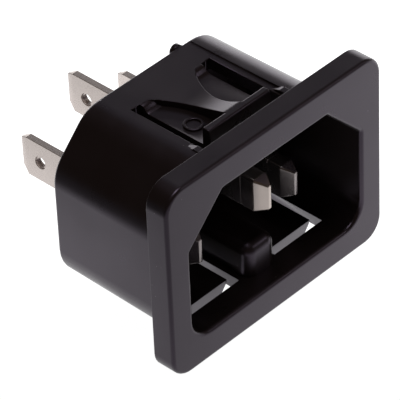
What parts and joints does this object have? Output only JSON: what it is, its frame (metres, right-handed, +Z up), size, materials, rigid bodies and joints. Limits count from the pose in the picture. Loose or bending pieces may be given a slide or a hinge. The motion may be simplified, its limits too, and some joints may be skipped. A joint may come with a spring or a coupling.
{
  "type": "power entry inlet",
  "caption": "Snap-in power inlet: a flat flange round a chamfered, keyed socket, sprung catches on the body, and plated blade contacts with push-on tabs behind.",
  "frame": {"origin": "middle of the flange's rear face, which seats on the panel", "axes": "+Y from the panel seat to the rear, where the tabs are; +Z up, the row of the earth contact; +X to the right for someone who looks into the socket"},
  "size_m": [0.0308, 0.0286, 0.023],
  "materials": {
    "housing_plastic": "moulded black, satin",
    "contact_plating": "bright nickel plating over brass"
  },
  "bodies": {
    "root": {"housing": "housing_plastic", "line_contact": "contact_plating", "neutral_contact": "contact_plating", "earth_contact": "contact_plating"}
  },
  "joints": []
}
